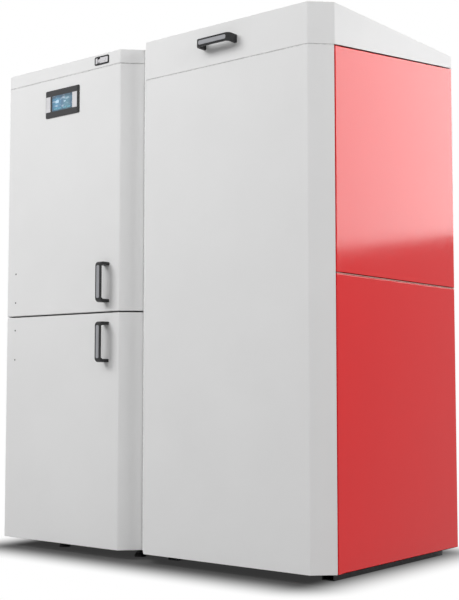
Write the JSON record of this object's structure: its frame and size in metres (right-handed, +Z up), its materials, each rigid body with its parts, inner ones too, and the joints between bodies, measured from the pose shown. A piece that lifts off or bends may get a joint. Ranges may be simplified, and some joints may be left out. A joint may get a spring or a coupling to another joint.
{
  "type": "pellet boiler",
  "caption": "Free-standing pellet boiler: a steel boiler cabinet with two doors and a display, and a pellet hopper cabinet with a lid beside it.",
  "frame": {"origin": "on the floor under the middle of the whole object, with front and back reach counted in", "axes": "+X to the right along the front, +Y from the doors to the smoke outlet at the back, +Z up"},
  "size_m": [1.359, 0.8444, 1.6],
  "materials": {
    "grey_paint": "fine light grey powder coat, semi-matt",
    "red_paint": "fine red powder coat, semi-matt",
    "black_plastic": "fine-grained moulded black",
    "pale_plastic": "smooth light grey moulding",
    "screen_glass": "lit touch screen under glass",
    "dark_steel": "black primer on steel",
    "zinc_steel": "galvanised sheet and bright steel",
    "vessel_steel": "heat-resistant dark paint on welded plate",
    "cast_iron": "sand-cast, blackened",
    "firebrick": "rough heat-proof board",
    "ceramic": "unglazed ceramic",
    "wool_jacket": "mineral wool board with a woven face",
    "hose_plastic": "soft grey hose",
    "motor_paint": "dark painted housing",
    "seal_rubber": "soft sealing strip"
  },
  "bodies": {
    "casing": {"boiler_rails": "dark_steel", "boiler_feet": "black_plastic", "vessel_shell": "vessel_steel", "firebox": "vessel_steel", "smoke_tubes": "vessel_steel", "smoke_chamber": "vessel_steel", "vessel_insulation": "wool_jacket", "cleaning_hatch": "cast_iron", "combustion_door": "cast_iron", "combustion_door_lining": "firebrick", "hatch_knobs": "black_plastic", "ash_box": "zinc_steel", "cleaning_motor": "motor_paint", "flue_box": "zinc_steel", "flue_fan_motor": "motor_paint", "burner": "zinc_steel", "burner_blower": "motor_paint", "igniter": "ceramic", "feed_hose": "hose_plastic", "front_frame": "grey_paint", "door_hinge_plates": "zinc_steel", "door_magnets": "black_plastic", "left_side_panels": "red_paint", "boiler_right_panel": "grey_paint", "rear_panels": "grey_paint", "boiler_top_cover": "grey_paint", "control_box": "motor_paint", "cable_glands": "black_plastic", "switch_housing": "black_plastic", "hopper_frame": "dark_steel", "hopper_front_panel": "grey_paint", "hopper_left_panel": "grey_paint", "right_side_panels": "red_paint", "hopper_bin": "zinc_steel", "feed_tube": "zinc_steel", "feed_motor": "motor_paint", "lid_hinge_brackets": "zinc_steel"},
    "upper_door": {"upper_door": "grey_paint", "upper_door_lining": "zinc_steel", "upper_door_handle": "black_plastic", "upper_handle_inlay": "pale_plastic", "display_frame": "black_plastic", "display_screen": "screen_glass"},
    "lower_door": {"lower_door": "grey_paint", "lower_door_lining": "zinc_steel", "lower_door_handle": "black_plastic", "lower_handle_inlay": "pale_plastic"},
    "lid": {"hopper_lid": "grey_paint", "lid_lining": "zinc_steel", "lid_gasket": "seal_rubber", "lid_hinge_leaves": "zinc_steel", "lid_handle": "black_plastic", "lid_handle_inlay": "pale_plastic"},
    "mains_rocker": {"mains_rocker": "pale_plastic"},
    "reset_button": {"reset_button": "pale_plastic"},
    "feed_auger": {"feed_auger": "zinc_steel"},
    "blower_wheel": {"blower_wheel": "zinc_steel"},
    "flue_fan_rotor": {"flue_fan_rotor": "zinc_steel"},
    "cleaning_shaft": {"cleaning_shaft": "zinc_steel"},
    "turbulator_rack": {"turbulator_rack": "zinc_steel"}
  },
  "joints": [
    {"name": "upper_door_hinge", "type": "hinge", "parent": "casing", "child": "upper_door", "pos_m": [-0.6695, -0.3128, 1.16], "axis": [0, 0, -1], "range_deg": [0, 100]},
    {"name": "lower_door_hinge", "type": "hinge", "parent": "casing", "child": "lower_door", "pos_m": [-0.6695, -0.3128, 0.4], "axis": [0, 0, -1], "range_deg": [0, 100]},
    {"name": "lid_hinge", "type": "hinge", "parent": "casing", "child": "lid", "pos_m": [0.1115, 0.3592, 1.56], "axis": [-1, 0, 0], "range_deg": [0, 95]},
    {"name": "mains_rocker_pivot", "type": "hinge", "parent": "casing", "child": "mains_rocker", "pos_m": [-0.1915, -0.3752, 1.579], "axis": [1, 0, 0], "range_deg": [0, 20]},
    {"name": "reset_button_travel", "type": "slide", "parent": "casing", "child": "reset_button", "axis": [0, 1, 0], "range_m": [0, 0.002], "stiffness_N_per_m": 200},
    {"name": "feed_auger_spin", "type": "hinge", "parent": "casing", "child": "feed_auger", "pos_m": [0, 0.2722, 0.72], "axis": [1, 0, 0], "continuous": true},
    {"name": "blower_wheel_spin", "type": "hinge", "parent": "casing", "child": "blower_wheel", "pos_m": [-0.5555, -0.03, 0.305], "axis": [0, 1, 0], "continuous": true},
    {"name": "flue_fan_spin", "type": "hinge", "parent": "casing", "child": "flue_fan_rotor", "pos_m": [-0.232, 0.26695, 1.2625], "axis": [0, 0, 1], "continuous": true},
    {"name": "cleaning_shaft_turn", "type": "hinge", "parent": "casing", "child": "cleaning_shaft", "pos_m": [-0.45, -0.1828, 1.255], "axis": [1, 0, 0], "range_deg": [0, 19]},
    {"name": "turbulator_lift", "type": "slide", "parent": "casing", "child": "turbulator_rack", "axis": [0, 0, 1], "range_m": [0, 0.03]}
  ],
  "couplings": [
    {"joint": "turbulator_lift", "follows": "cleaning_shaft_turn", "m_per_rad": 0.09}
  ]
}
